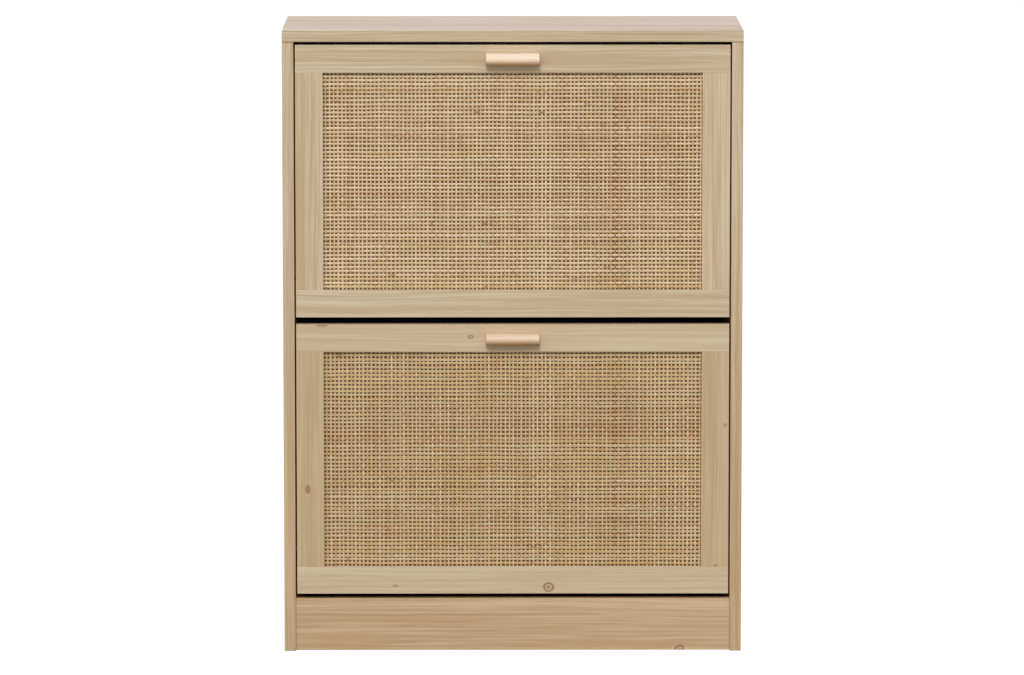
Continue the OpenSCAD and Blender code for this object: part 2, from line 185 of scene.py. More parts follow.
class Value:
    """A number that changes over a surface. Sums and products of it add Math nodes."""

    def __init__(self, finish, socket):
        self.finish = finish
        self.socket = socket

    def _with(self, operation, first, second):
        return self.finish.value("ShaderNodeMath", {"operation": operation}, {0: first, 1: second})

    def __add__(self, other):
        return self._with("ADD", self, other)

    def __sub__(self, other):
        return self._with("SUBTRACT", self, other)

    def __rsub__(self, other):
        return self._with("SUBTRACT", other, self)

    def __mul__(self, other):
        return self._with("MULTIPLY", self, other)

    def __truediv__(self, other):
        return self._with("DIVIDE", self, other)

    def __rtruediv__(self, other):
        return self._with("DIVIDE", other, self)

    def __pow__(self, other):
        return self._with("POWER", self, other)

    def __mod__(self, other):
        return self._with("FLOORED_MODULO", self, other)

    __radd__ = __add__
    __rmul__ = __mul__


class Finish:
    """One procedural material, built node by node on the object's own coordinates."""

    def __init__(self, name, roughness=0.5, **fixed):
        self.material = bpy.data.materials.new(name)
        self.material.use_nodes = True
        self.tree = self.material.node_tree
        self.tree.nodes.clear()
        self.shader = self.tree.nodes.new("ShaderNodeBsdfPrincipled")
        self.output = self.tree.nodes.new("ShaderNodeOutputMaterial")
        self.tree.links.new(self.shader.outputs[0], self.output.inputs["Surface"])
        self.shader.inputs["Roughness"].default_value = roughness
        for socket, value in fixed.items():
            self.shader.inputs[socket.replace("_", " ")].default_value = value

    def node(self, kind, choices=None, inputs=None):
        """Adds a node. Choices are its settings, and inputs its sockets' values or links."""
        node = self.tree.nodes.new(kind)
        for key, choice in (choices or {}).items():
            if key == "stops":
                self._set_ramp(node.color_ramp, choice)
            else:
                setattr(node, key, choice)
        for key, value in (inputs or {}).items():
            self.feed(self._socket(node, key), value)
        return node

    def _set_ramp(self, ramp, stops):
        while len(ramp.elements) < len(stops):
            ramp.elements.new(0.5)
        for element, (position, colour) in zip(ramp.elements, stops):
            element.position = position
            element.color = (*colour, 1.0)

    def _socket(self, node, key):
        if isinstance(key, int):
            return node.inputs[key]
        return next(socket for socket in node.inputs if socket.name == key and socket.enabled)

    def feed(self, socket, value):
        source = value.socket if isinstance(value, Value) else value
        if isinstance(source, bpy.types.NodeSocket):
            self.tree.links.new(source, socket)
        elif isinstance(source, tuple) and len(source) == 3 and socket.type == "RGBA":
            socket.default_value = (*source, 1.0)
        else:
            socket.default_value = source

    def value(self, kind, choices=None, inputs=None, output=0):
        """Adds a node and gives one of its outputs as a Value."""
        return Value(self, self.node(kind, choices, inputs).outputs[output])

    def place(self, kind="Object"):
        """X, Y and Z of the surface point in metres, or with Normal, of the way it faces."""
        split = self.node("ShaderNodeSeparateXYZ", None,
                          {0: self.node("ShaderNodeTexCoord").outputs[kind]})
        return [Value(self, socket) for socket in split.outputs]

    def vector(self, x, y, z):
        return self.node("ShaderNodeCombineXYZ", None, {0: x, 1: y, 2: z}).outputs[0]

    def noise(self, x, y, z, detail=2.0, roughness=0.5):
        return self.value("ShaderNodeTexNoise", None, {
            "Vector": self.vector(x, y, z), "Scale": 1.0, "Detail": detail, "Roughness": roughness})

    def size_of(self, value):
        return self.value("ShaderNodeMath", {"operation": "ABSOLUTE"}, {0: value})

    def ease(self, value, low, high):
        """0 where value is below low, 1 where it is above high, and smooth between them."""
        return self.value("ShaderNodeMapRange", {"interpolation_type": "SMOOTHSTEP"}, {
            "Value": value, "From Min": low, "From Max": high})

    def mix(self, share, first, second, blend="MIX"):
        node = self.node("ShaderNodeMix", {"data_type": "RGBA", "blend_type": blend}, {
            "Factor": share, "A": first, "B": second})
        return next(socket for socket in node.outputs if socket.enabled)

    def colour(self, source):
        self.feed(self.shader.inputs["Base Color"], source)

    def rough(self, value):
        self.feed(self.shader.inputs["Roughness"], value)

    def bump(self, height, distance):
        node = self.node("ShaderNodeBump", None, {
            "Height": height, "Distance": distance, "Strength": 1.0})
        self.feed(self.shader.inputs["Normal"], node.outputs[0])


# How far the grain wanders, the growth rings' spacing, and how far the grain bends aside
# at a knot, as a share of the knot's radius
SWAY = 12 * MM
RING_SPACING = 7.5 * MM
KNOT_PUSH = 0.55
KNOT_WOOD = srgb(160, 120, 76)
KNOT_RING = srgb(138, 98, 54)
KNOT_HEART = srgb(118, 80, 44)


def wood(name, grain, tones, seed=0.0, streaks=0.6, lines=1.0, contrast=1.0, knots=(), tinge=None,
         painted_low_shade=None, painted_underside_shade=None, joint=None, banded=False, roughness=0.46):
    """Wood with lines along X or Z.

    Contrast is how far the pale and deep tones part. Each knot is (along, across, radius,
    stretch along the grain, depth of its filling), and all tones are multiplied by the tinge.
    Painted_low_shade is the two places along the grain between which a painted shade, darker and
    warmer towards the bottom of the board, fades into the usual tone, and painted_underside_shade
    the two heights between which a painted shade on the piece's lower side fades into the usual
    tone. Joint is the height from which the piece's upper edge darkens against the board that lies
    on it. A banded board's ends carry an edge strip with its lines along Y."""
    finish = Finish(name, roughness)
    x, y, z = finish.place()
    along, across = (x, z + y) if grain == "X" else (z, x + y)
    knot_across = z if grain == "X" else x
    if banded:
        end = finish.ease(finish.size_of(finish.place("Normal")[0]), 0.6, 0.8)
        along = x + (y - x) * end
        across = z + y * (1 - end)
    sway = finish.noise(along * 3.1, across * 9 + seed, seed, 2.0, 0.5)
    flow = across + (sway - 0.5) * SWAY
    marks = []
    ragged = finish.noise(along * 120, knot_across * 120, seed, 1.0, 0.5) if knots else None
    for place, height, radius, stretch, fill in knots:
        long_way = (along - place) / (radius * stretch)
        short_way = (knot_across - height) / radius
        reach = (long_way * long_way + short_way * short_way) ** 0.5
        push = 1 / (1 + reach * reach * 0.22) ** 2
        flow = flow - short_way * push * (radius * KNOT_PUSH)
        marks.append((reach + (ragged - 0.5) * 0.5, fill))
    broad = finish.noise(along * 1.3, flow * 62 + seed, seed * 1.7, 2.0, 0.5)
    fine = finish.noise(along * 5.5, flow * 330, seed * 2.3, 3.0, 0.68)
    fibre = finish.noise(along * 26, flow * 1500, seed * 0.7, 2.0, 0.6)
    tone = finish.ease(broad * 0.36 + fine * 0.5 + fibre * 0.14, 0.4, 0.61)
    tone = tone * contrast + (1 - contrast) / 2
    colour = finish.mix(tone, tones.deep[:], tones.pale[:])
    ring = finish.noise(along * 1.1, flow * 20, seed * 3.1 + 5, 1.0, 0.4)
    rings = flow * (lines / RING_SPACING) + ring * 2.5
    thin = 1 - finish.ease(finish.size_of(rings % 1.0 - 0.5), 0.0, 0.13)
    patch = finish.ease(finish.noise(along * 3.4, flow * 70, seed + 17.0, 3.0, 0.65), 0.38, 0.68)
    colour = finish.mix(thin * patch * streaks, colour, tones.streak[:])
    band = finish.ease(finish.noise(along * 0.9, flow * 26, seed + 31.0, 1.0, 0.4), 0.56, 0.74)
    colour = finish.mix(band * streaks * 0.45, colour, tones.streak[:])
    if tinge:
        colour = finish.mix(1.0, colour, tinge[:], "MULTIPLY")
    # Painted shade: the tone darkens and warms towards the bottom of the board
    if painted_low_shade:
        share = 1 - finish.ease(along + (sway - 0.5) * 0.1, *painted_low_shade)
        colour = finish.mix(share, colour, tones.painted_low_shade[:], "MULTIPLY")
    # Painted shade: the tone darkens and browns towards the piece's lower side
    if painted_underside_shade:
        share = 1 - finish.ease(z + (sway - 0.5) * MM, *painted_underside_shade)
        colour = finish.mix(share, colour, tones.painted_underside_shade[:], "MULTIPLY")
    if joint:
        colour = finish.mix(finish.ease(z, joint, joint + MM) * 0.9, colour, tones.streak[:])
    for reach, fill in marks:
        outer = finish.ease(reach, 0.62, 0.82) * (1 - finish.ease(reach, 0.96, 1.2))
        inner = finish.ease(reach, 0.26, 0.4) * (1 - finish.ease(reach, 0.42, 0.56))
        ring_mark = outer + inner * 0.5
        heart = 1 - finish.ease(reach, 0.08, 0.24)
        inside = 1 - finish.ease(reach, 0.8, 1.0)
        colour = finish.mix(inside * fill, colour, KNOT_WOOD)
        colour = finish.mix(ring_mark * 0.85, colour, KNOT_RING)
        colour = finish.mix(heart * 0.7, colour, KNOT_HEART)
    finish.colour(colour)
    finish.rough(roughness + 0.12 * fibre - 0.05 * thin)
    finish.bump(fibre * 0.5 + fine * 0.5, 0.08 * MM)
    return finish.material


def cane_finish(name, upright, tinge):
    """Peeled cane. Each strand has its own tone, found from its place in the weave, and tinge
    is what the whole panel's tones are multiplied by."""
    tones = settings("cane")
    finish = Finish(name, 0.5)
    x, _, z = finish.place()
    across, along = (x, z) if upright else (z, x)
    pitch = tones.warp_pitch if upright else tones.weft_pitch
    start = weave_start(upright)
    turns = (across - start) / pitch
    strand = finish.value("ShaderNodeMath", {"operation": "ROUND"}, {0: turns})
    own = finish.value("ShaderNodeTexWhiteNoise", {"noise_dimensions": "1D"}, {"W": strand + 0.37})
    run = finish.noise(along * 20, strand * 3.71, 0.0, 3.0, 0.6)
    fleck = finish.noise(along * 260, strand * 5.3, across * 900, 2.0)
    region = finish.noise(x * 9, 0.0, z * 9, 1.0)
    # Painted light: each level strand gets a painted highlight along its upper edge and painted shade
    # along its lower edge, and each upright strand painted shade along both sides
    if upright:
        edge = finish.ease(finish.size_of(turns - strand), 0.08, 0.24) * 0.12 - 0.02
    else:
        edge = finish.ease(strand - turns, -0.1, 0.24) * 0.26 - 0.07
    batch = finish.noise(strand * 0.19 + 5.0, along * 1.2, 2.0, 2.0)
    tone = own * 0.24 + run * 0.7 + region * 0.14 + batch * 0.5 - 0.31 + (fleck - 0.5) * 0.3 + edge
    stops = [(0.0, tones.cream[:]), (0.3, tones.cream[:]), (0.5, tones.straw[:]),
             (0.68, tones.amber[:]), (1.0, tones.brown[:])]
    ramp = finish.node("ShaderNodeValToRGB", {"stops": stops}, {0: tone})
    green = finish.ease(finish.noise(along * 14, strand * 2.13 + 40, 3.0), 0.54, 0.68)
    colour = finish.mix(green * 0.5, ramp.outputs[0], tones.green[:])
    grey = finish.ease(batch, 0.54, 0.68) * finish.ease(run, 0.4, 0.6)
    colour = finish.mix(grey * 0.35, colour, tones.grey[:])
    stain = finish.noise(along * 17, strand * 1.9 + 90, 9.0, 3.0, 0.65)
    colour = finish.mix(finish.ease(stain, 0.63, 0.74) * 0.75, colour, tones.dark[:])
    brown = finish.ease(own, 0.955, 0.965) * finish.ease(run, 0.4, 0.55)
    colour = finish.mix(brown * 0.6, colour, tones.dark[:])
    finish.colour(finish.mix(1.0, colour, tinge, "MULTIPLY"))
    finish.rough(0.42 + 0.2 * fleck)
    finish.bump(fleck, 0.05 * MM)
    return finish.material


def hardboard(name, light, dark):
    """Pressed fibre board: fine felted fibres, a little sheen on its smooth side."""
    finish = Finish(name, 0.55)
    x, y, z = finish.place()
    fibre = finish.noise(x * 700, y * 700, z * 700, 4.0, 0.7)
    cloud = finish.noise(x * 16, y * 16, z * 16, 3.0)
    finish.colour(finish.mix(finish.ease(fibre * 0.6 + cloud * 0.4, 0.35, 0.65), light, dark))
    finish.rough(0.5 + 0.2 * fibre)
    finish.bump(fibre, 0.08 * MM)
    return finish.material


def moulded_plastic(name, light, dark):
    """Black moulded plastic with a fine spark-eroded texture."""
    finish = Finish(name, 0.5)
    x, y, z = finish.place()
    grit = finish.noise(x * 1500, y * 1500, z * 1500, 2.0, 0.6)
    haze = finish.noise(x * 30, y * 30, z * 30, 2.0)
    finish.colour(finish.mix(haze, light, dark))
    finish.rough(0.42 + 0.22 * grit)
    finish.bump(grit, 0.06 * MM)
    return finish.material


def plated_steel(name, light, dark):
    """Zinc plating: bluish grey, slightly clouded, with drawn scratches."""
    finish = Finish(name, 0.32, Metallic=1.0)
    x, y, z = finish.place()
    cloud = finish.noise(x * 220, y * 220, z * 220, 3.0)
    scratch = finish.noise(x * 4000, y * 300, z * 4000, 2.0)
    finish.colour(finish.mix(cloud, light, dark))
    finish.rough(0.26 + 0.2 * scratch)
    finish.bump(scratch, 0.02 * MM)
    return finish.material


# Modelling steps

def only(*pieces):
    """Leaves just these pieces selected, in object mode, the first of them active."""
    if bpy.context.object and bpy.context.object.mode != "OBJECT":
        bpy.ops.object.mode_set(mode="OBJECT")
    bpy.ops.object.select_all(action="DESELECT")
    for piece in pieces:
        piece.select_set(True)
    bpy.context.view_layer.objects.active = pieces[0]


def choose(piece, kind, test):
    """Selects a piece's vertices, edges or faces by test(mesh, part), and opens it for editing."""
    only(piece)
    bpy.ops.object.mode_set(mode="EDIT")
    bpy.ops.mesh.select_mode(type=kind)
    bpy.ops.mesh.select_all(action="DESELECT")
    bpy.ops.object.mode_set(mode="OBJECT")
    mesh = piece.data
    parts = {"VERT": mesh.vertices, "EDGE": mesh.edges, "FACE": mesh.polygons}[kind]
    for part in parts:
        part.select = test(mesh, part)
    bpy.ops.object.mode_set(mode="EDIT")


def ends(mesh, edge):
    """The two end points of an edge."""
    return [mesh.vertices[i].co for i in edge.vertices]


def block(name, low, high):
    """A block with the given corners, its place in its mesh."""
    bpy.ops.object.select_all(action="DESELECT")
    size = [top - bottom for bottom, top in zip(low, high)]
    middle = [(bottom + top) / 2 for bottom, top in zip(low, high)]
    bpy.ops.mesh.primitive_cube_add(size=1, location=middle)
    piece = bpy.context.object
    piece.name = name
    piece.scale = size
    bpy.ops.object.transform_apply(location=True, rotation=True, scale=True)
    return piece


def dress(piece, material):
    """Puts a material in every slot of a piece, or in a new slot if it has none."""
    if piece.material_slots:
        for slot in piece.material_slots:
            slot.material = material
    else:
        piece.data.materials.append(material)


def modify(piece, kind, **choices):
    """Adds a modifier and applies it."""
    only(piece)
    modifier = piece.modifiers.new(kind.title(), kind)
    for key, choice in choices.items():
        setattr(modifier, key, choice)
    bpy.ops.object.modifier_apply(modifier=modifier.name)


def finish_piece(piece, body, material, slot, *nodes):
    """Gives a new piece its material, lets it ride on a body and stand for its CAD nodes."""
    piece.data.materials.clear()
    dress(piece, material)
    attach(piece, body)
    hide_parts(*nodes)


def body_of(node):
    """The body that a CAD node moves with."""
    return frame["nodes"][node]["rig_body"]


def slot_of(node):
    """The material slot that the record gives a CAD node."""
    parts = frame["record"]["subparts"]
    return next(part["material_slot"] for part in parts if part["node"] == node)


def eased_copy(node, ease, shortest=4 * MM):
    """A copy of a CAD node whose sharp edges are bevelled, but for those under the shortest."""
    only(frame["nodes"][node])
    bpy.ops.object.duplicate()
    piece = bpy.context.object
    piece.name = node + "_eased"
    for key in list(piece.keys()):
        del piece[key]
    bpy.ops.object.parent_clear(type="CLEAR_KEEP_TRANSFORM")
    bpy.ops.object.mode_set(mode="EDIT")
    bpy.ops.mesh.select_all(action="SELECT")
    bpy.ops.mesh.remove_doubles(threshold=0.005 * MM)
    bpy.ops.mesh.dissolve_limited(angle_limit=math.radians(0.5))
    bpy.ops.mesh.select_mode(type="EDGE")
    bpy.ops.mesh.select_all(action="DESELECT")
    bpy.ops.mesh.edges_select_sharp(sharpness=math.radians(60))
    bpy.ops.object.mode_set(mode="OBJECT")
    for edge in piece.data.edges:
        start, end = ends(piece.data, edge)
        if (end - start).length < shortest:
            edge.select = False
    bpy.ops.object.mode_set(mode="EDIT")
    bpy.ops.mesh.bevel(offset=ease, segments=2, affect="EDGES", clamp_overlap=True)
    bpy.ops.object.mode_set(mode="OBJECT")
    bpy.ops.object.shade_flat()
    return piece


def ease_nodes(nodes, ease, material):
    """Replaces each CAD node with an eased copy of it."""
    for node in nodes:
        finish_piece(eased_copy(node, ease), body_of(node), material, slot_of(node), node)


def keep_nodes(nodes, material):
    """Leaves CAD nodes as they are and gives them a finished material."""
    for node in nodes:
        dress(frame["nodes"][node], material)


# Woven cane

def weave_start(upright):
    """X of the first upright strand, or the height of the upper sheet's first level strand."""
    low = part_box("upper_cane_panel")[0]
    cane = settings("cane")
    return low.x + cane.warp_pitch / 2 if upright else low.z + cane.weft_pitch / 2


def strand(name, width, cells, pitch, phase):
    """One upright strand that passes in front of and behind its crossings in turn."""
    cane = settings("cane")
    bpy.ops.object.select_all(action="DESELECT")
    bpy.ops.mesh.primitive_cylinder_add(vertices=6, radius=1, depth=2 * pitch, end_fill_type="NOTHING",
                                        location=(0, 0, pitch), rotation=(0, 0, math.pi / 6))
    piece = bpy.context.object
    piece.name = name
    bpy.ops.object.transform_apply(location=True, rotation=True, scale=True)
    piece.scale = (width / 2, cane.strand_t / 2 / math.cos(math.pi / 6), 1)
    bpy.ops.object.transform_apply(location=True, rotation=True, scale=True)

    def is_long_edge(mesh, edge):
        start, end = ends(mesh, edge)
        return abs(start.z - end.z) > pitch
    choose(piece, "EDGE", is_long_edge)
    bpy.ops.mesh.subdivide(number_cuts=3)
    for place, side in ((0.5, -1), (1.5, 1)):
        choose(piece, "VERT", lambda mesh, v: abs(v.co.z - place * pitch) < 0.1 * pitch)
        bpy.ops.transform.translate(value=(0, side * cane.wave, 0))
    modify(piece, "ARRAY", count=cells // 2 + 2, use_relative_offset=False, use_constant_offset=True,
           constant_offset_displace=(0, 0, 2 * pitch), use_merge_vertices=True,
           merge_threshold=0.005 * MM)
    piece.location.z = -(2 - phase) * pitch
    bpy.ops.object.transform_apply(location=True, rotation=False, scale=False)
    return piece


def strand_sheet(name, low, high, upright, chance):
    """All the strands of one direction that fill a panel, trimmed to its edges."""
    cane = settings("cane")
    pitch, cell, width = cane.warp_pitch, cane.weft_pitch, cane.warp_w
    across, along = high.x - low.x, high.z - low.z
    if not upright:
        pitch, cell, width = cell, pitch, cane.weft_w
        across, along = along, across
    count = int(across / pitch + 0.5)
    cells = int(along / cell) + 1
    patterns = [strand(f"{name}_pattern_{i}", width, cells, cell, i) for i in (0, 1)]
    copies = []
    for i in range(count):
        only(patterns[(i + (0 if upright else 1)) % 2])
        bpy.ops.object.duplicate()
        copy = bpy.context.object
        copy.location.x = (i + 0.5) * pitch + chance.uniform(-0.35, 0.35) * MM
        copy.location.y = chance.uniform(-0.05, 0.05) * MM
        copy.scale.x = chance.uniform(0.86, 1.1)
        copies.append(copy)
    only(*copies)
    bpy.ops.object.join()
    sheet = bpy.context.object
    sheet.name = name
    bpy.ops.object.transform_apply(location=True, rotation=True, scale=True)
    only(*patterns)
    bpy.ops.object.delete()
    only(sheet)
    if not upright:
        # Lay the upright strands down: X becomes Z and Z becomes X, still facing -Y
        bpy.ops.transform.mirror(orient_type="GLOBAL", constraint_axis=(True, False, False),
                                 center_override=(0, 0, 0))
        bpy.ops.object.transform_apply(location=True, rotation=True, scale=True)
        sheet.rotation_euler.y = math.pi / 2
        bpy.ops.object.transform_apply(location=True, rotation=True, scale=True)
    sheet.location = (low.x, (low.y + high.y) / 2, low.z)
    bpy.ops.object.transform_apply(location=True, rotation=True, scale=True)
    return sheet


def ripple(piece, direction, strength, size):
    """Lets the strands wander gently, as hand-drawn cane does."""
    texture = bpy.data.textures.new(piece.name + "_ripple", "CLOUDS")
    texture.noise_scale = size
    modify(piece, "DISPLACE", texture=texture, texture_coords="GLOBAL", direction=direction,
           strength=strength, mid_level=0.5)


def trim(piece, low, high):
    """Cuts a woven sheet off level with its panel's edges."""
    only(piece)
    bpy.ops.object.mode_set(mode="EDIT")
    cuts = ((low, (-1, 0, 0)), (low, (0, 0, -1)), (high, (1, 0, 0)), (high, (0, 0, 1)))
    for corner, outward in cuts:
        bpy.ops.mesh.select_all(action="SELECT")
        bpy.ops.mesh.bisect(plane_co=corner, plane_no=outward, use_fill=False, clear_outer=True)
    bpy.ops.mesh.select_all(action="SELECT")
    bpy.ops.mesh.fill_holes(sides=8)
    bpy.ops.mesh.select_all(action="SELECT")
    bpy.ops.mesh.normals_make_consistent(inside=False)
    bpy.ops.object.mode_set(mode="OBJECT")
    bpy.ops.object.shade_smooth_by_angle(angle=math.radians(38))


class CABINET_OT_weave_cane(bpy.types.Operator):
    """Weaves the cane panel of each front from upright and level strands"""
    bl_idname = "shoe_cabinet.weave_cane"
    bl_label = "Woven cane"

    def execute(self, context):
        chance = random.Random(7)
        tinges = {"upper": (1.0, 1.0, 1.0), "lower": settings("cane").lower[:]}
        for drawer in DRAWERS:
            node = drawer + "_cane_panel"
            low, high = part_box(node)
            for upright, name in ((True, "warp"), (False, "weft")):
                sheet = strand_sheet(f"{drawer}_cane_{name}", low, high, upright, chance)
                ripple(sheet, "X" if upright else "Z", strength=0.9 * MM, size=50 * MM)
                trim(sheet, low, high)
                finish = cane_finish(f"{drawer}_{name}", upright, tinges[drawer])
                finish_piece(sheet, body_of(node), finish, slot_of(node), node)
        return {"FINISHED"}


# Boards and frames

class CABINET_OT_carcass_boards(bpy.types.Operator):
    """Eases the carcass boards' edges and gives them their wood-look finish"""
    bl_idname = "shoe_cabinet.carcass_boards"
    bl_label = "Carcass boards"

    def execute(self, context):
        tones = settings("board")
        level = wood("board_level_grain", "X", tones, 3.0, streaks=0.7, banded=True)
        top_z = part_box("top_panel")[0].z
        # The side panels carry a painted shade, darker and warmer towards the floor
        upright = wood("board_upright_grain", "Z", tones, 11.0, streaks=0.35, painted_low_shade=(0.1, top_z * 0.9),
                       joint=top_z - 1.8 * MM)
        plinth_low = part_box("plinth")[0]
        plinth = wood("plinth_grain", "X", tones, 8.0, streaks=0.6, tinge=tones.plinth,
                      knots=[(0.219, plinth_low.z, 6.0 * MM, 1.1, 0.25)])
        nodes = ["top_panel", "bottom_panel", "rear_top_rail", "rear_middle_rail"]
        ease_nodes(nodes, tones.ease, level)
        ease_nodes(["left_side_panel", "right_side_panel"], tones.ease, upright)
        ease_nodes(["plinth"], tones.ease, plinth)
        return {"FINISHED"}


class CABINET_OT_front_frames(bpy.types.Operator):
    """Eases the rails, stiles and beads of the fronts and gives them their pine finish"""
    bl_idname = "shoe_cabinet.front_frames"
    bl_label = "Front frames"

    def execute(self, context):
        tones = settings("front")
        lower_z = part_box("lower_bottom_rail")[0].z
        top_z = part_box("lower_top_rail")[1].z
        knots = [(0.047, lower_z + 8.5 * MM, 6.0 * MM, 1.05, 0.25),
                 (-0.154, lower_z + 10.5 * MM, 1.5 * MM, 2.5, 0.2),
                 (-0.055, top_z - 16 * MM, 2.4 * MM, 1.5, 0.15),
                 (-0.249, top_z - 1.5 * MM, 1.2 * MM, 5.5, 0.4)]
        rails = {"upper": wood("pine_upper_rail_grain", "X", tones, 1.0, streaks=0.5, lines=0.8),
                 "lower": wood("pine_lower_rail_grain", "X", tones, 1.7, streaks=0.25, lines=0.8,
                               contrast=0.6, knots=knots, tinge=tones.rails)}
        side_knots = [(0.2155, -0.2687, 2.8 * MM, 1.9, 0.6), (0.112, 0.266, 2.0 * MM, 1.5, 0.6),
                      (0.300, 0.278, 1.6 * MM, 1.5, 0.3)]
        stiles = {"upper": wood("pine_upper_stile_grain", "Z", tones, 9.0, streaks=0.35, lines=0.8,
                                tinge=tones.upper),
                  "lower": wood("pine_lower_stile_grain", "Z", tones, 13.0, streaks=0.25, lines=0.8,
                                contrast=0.7, knots=side_knots, tinge=tones.lower)}
        for drawer in DRAWERS:
            ease_nodes([f"{drawer}_top_rail", f"{drawer}_bottom_rail", f"{drawer}_panel_beads"],
                       tones.ease, rails[drawer])
            ease_nodes([f"{drawer}_left_stile", f"{drawer}_right_stile"], tones.ease, stiles[drawer])
        return {"FINISHED"}


def half_round(name, low, high, end_round):
    """A handle with a flat back, a round nose towards -Y and ends whose edges are rounded."""
    piece = block(name, low, high)
    nose = (high.z - low.z) / 2 * 0.98
    near = 0.01 * MM

    def is_nose_edge(mesh, edge):
        start, end = ends(mesh, edge)
        return max(start.y, end.y) < low.y + MM and abs(start.x - end.x) > MM
    choose(piece, "EDGE", is_nose_edge)
    bpy.ops.mesh.bevel(offset=nose, segments=14, affect="EDGES", clamp_overlap=False)

    def is_end_edge(mesh, edge):
        start, end = ends(mesh, edge)
        to_end = min(abs(start.x - low.x), abs(start.x - high.x))
        at_end = abs(start.x - end.x) < near and to_end < near
        return at_end and min(start.y, end.y) < high.y - near
    choose(piece, "EDGE", is_end_edge)
    bpy.ops.mesh.bevel(offset=end_round, segments=4, affect="EDGES", clamp_overlap=True)
    bpy.ops.object.mode_set(mode="OBJECT")
    bpy.ops.object.shade_smooth_by_angle(angle=math.radians(40))
    modify(piece, "WEIGHTED_NORMAL", keep_sharp=True)
    return piece


class CABINET_OT_handles(bpy.types.Operator):
    """Shapes the half-round beech handles"""
    bl_idname = "shoe_cabinet.handles"
    bl_label = "Handles"

    def execute(self, context):
        tones = settings("handle")
        for drawer, seed, tinge in (("upper", 21.0, None), ("lower", 23.0, tones.lower)):
            node = drawer + "_handle"
            low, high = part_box(node)
            tall = high.z - low.z
            # Each handle's lower half carries a painted shade
            beech = wood(drawer + "_beech", "X", tones, seed, streaks=0.5, lines=1.6, tinge=tinge,
                         painted_underside_shade=(low.z + 0.05 * tall, low.z + 0.55 * tall), roughness=0.38)
            piece = half_round(drawer + "_handle_round", low, high, tones.end_round)
            finish_piece(piece, body_of(node), beech, slot_of(node), node)
        return {"FINISHED"}


class CABINET_OT_drawer_insides(bpy.types.Operator):
    """Finishes the drawers' boards, brackets and backing sheets, and the pivot bushes"""
    bl_idname = "shoe_cabinet.drawer_insides"
    bl_label = "Drawer insides"

    def execute(self, context):
        tones = settings("board")
        inside = settings("inside")
        board = wood("drawer_board_grain", "X", tones, 17.0, streaks=0.4)
        # The lower backing is a painted-shade copy of the upper hardboard
        browns = {"upper": hardboard("brown_hardboard", inside.upper[:], inside.upper_dark[:]),
                  "lower": hardboard("shaded_hardboard", inside.lower[:], inside.lower_dark[:])}
        plastic = moulded_plastic("black_plastic", inside.plastic[:], inside.plastic_dark[:])
        boards = ("front_floor", "divider", "rear_floor", "rear_board")
        for drawer in DRAWERS:
            ease_nodes([f"{drawer}_{part}" for part in boards], tones.ease, board)
            ease_nodes([f"{drawer}_left_bracket", f"{drawer}_right_bracket"], inside.ease, plastic)
            keep_nodes([drawer + "_cane_backing"], browns[drawer])
        keep_nodes(["pivot_bushes"], plastic)
        return {"FINISHED"}


class CABINET_OT_backs(bpy.types.Operator):
    """Finishes the dark hardboard back panels"""
    bl_idname = "shoe_cabinet.backs"
    bl_label = "Back panels"

    def execute(self, context):
        inside = settings("inside")
        dark = hardboard("dark_hardboard", inside.back[:], inside.back_dark[:])
        keep_nodes(["upper_back_panel", "lower_back_panel"], dark)
        return {"FINISHED"}


# Fasteners

def solids(node):
    """The low and high corners of each separate solid in a CAD node."""
    only(frame["nodes"][node])
    bpy.ops.object.duplicate()
    bpy.ops.object.parent_clear(type="CLEAR_KEEP_TRANSFORM")
    bpy.ops.object.mode_set(mode="EDIT")
    bpy.ops.mesh.select_all(action="SELECT")
    bpy.ops.mesh.remove_doubles(threshold=0.005 * MM)
    bpy.ops.mesh.separate(type="LOOSE")
    bpy.ops.object.mode_set(mode="OBJECT")
    boxes = []
    for copy in bpy.context.selected_objects:
        points = [copy.matrix_world @ v.co for v in copy.data.vertices]
        boxes.append([Vector([pick(point[i] for point in points) for i in range(3)])
                      for pick in (min, max)])
    bpy.ops.object.delete()
    return boxes


def headed_pin(name, head_r, head_t, shank_r, shank_l, recess):
    """A screw or nail. Its head faces +Y from Y = 0, and a recess cuts a cross into the head."""
    bpy.ops.object.select_all(action="DESELECT")
    bpy.ops.mesh.primitive_cylinder_add(vertices=28 if recess else 18, radius=head_r, depth=head_t,
                                        location=(0, head_t / 2, 0), rotation=(-math.pi / 2, 0, 0))
    piece = bpy.context.object
    piece.name = name
    bpy.ops.object.transform_apply(location=True, rotation=True, scale=True)

    def is_rim(mesh, edge):
        return min(point.y for point in ends(mesh, edge)) > 0.9 * head_t
    choose(piece, "EDGE", is_rim)
    bpy.ops.mesh.bevel(offset=0.6 * head_t, segments=4, affect="EDGES", clamp_overlap=False)
    bpy.ops.object.mode_set(mode="OBJECT")
    if recess:
        arm = block("recess", (-0.5 * head_r, 0.45 * head_t, -0.12 * head_r),
                    (0.5 * head_r, 1.5 * head_t, 0.12 * head_r))
        other = block("recess_across", (-0.12 * head_r, 0.45 * head_t, -0.5 * head_r),
                      (0.12 * head_r, 1.5 * head_t, 0.5 * head_r))
        for cutter in (arm, other):
            modify(piece, "BOOLEAN", object=cutter, operation="DIFFERENCE", solver="EXACT")
        only(arm, other)
        bpy.ops.object.delete()
    bpy.ops.mesh.primitive_cylinder_add(vertices=14, radius=shank_r, depth=shank_l,
                                        location=(0, -shank_l / 2, 0), rotation=(-math.pi / 2, 0, 0))
    shank = bpy.context.object
    only(piece, shank)
    bpy.ops.object.join()
    bpy.ops.object.transform_apply(location=True, rotation=True, scale=True)
    bpy.ops.object.shade_smooth_by_angle(angle=math.radians(35))
    return piece


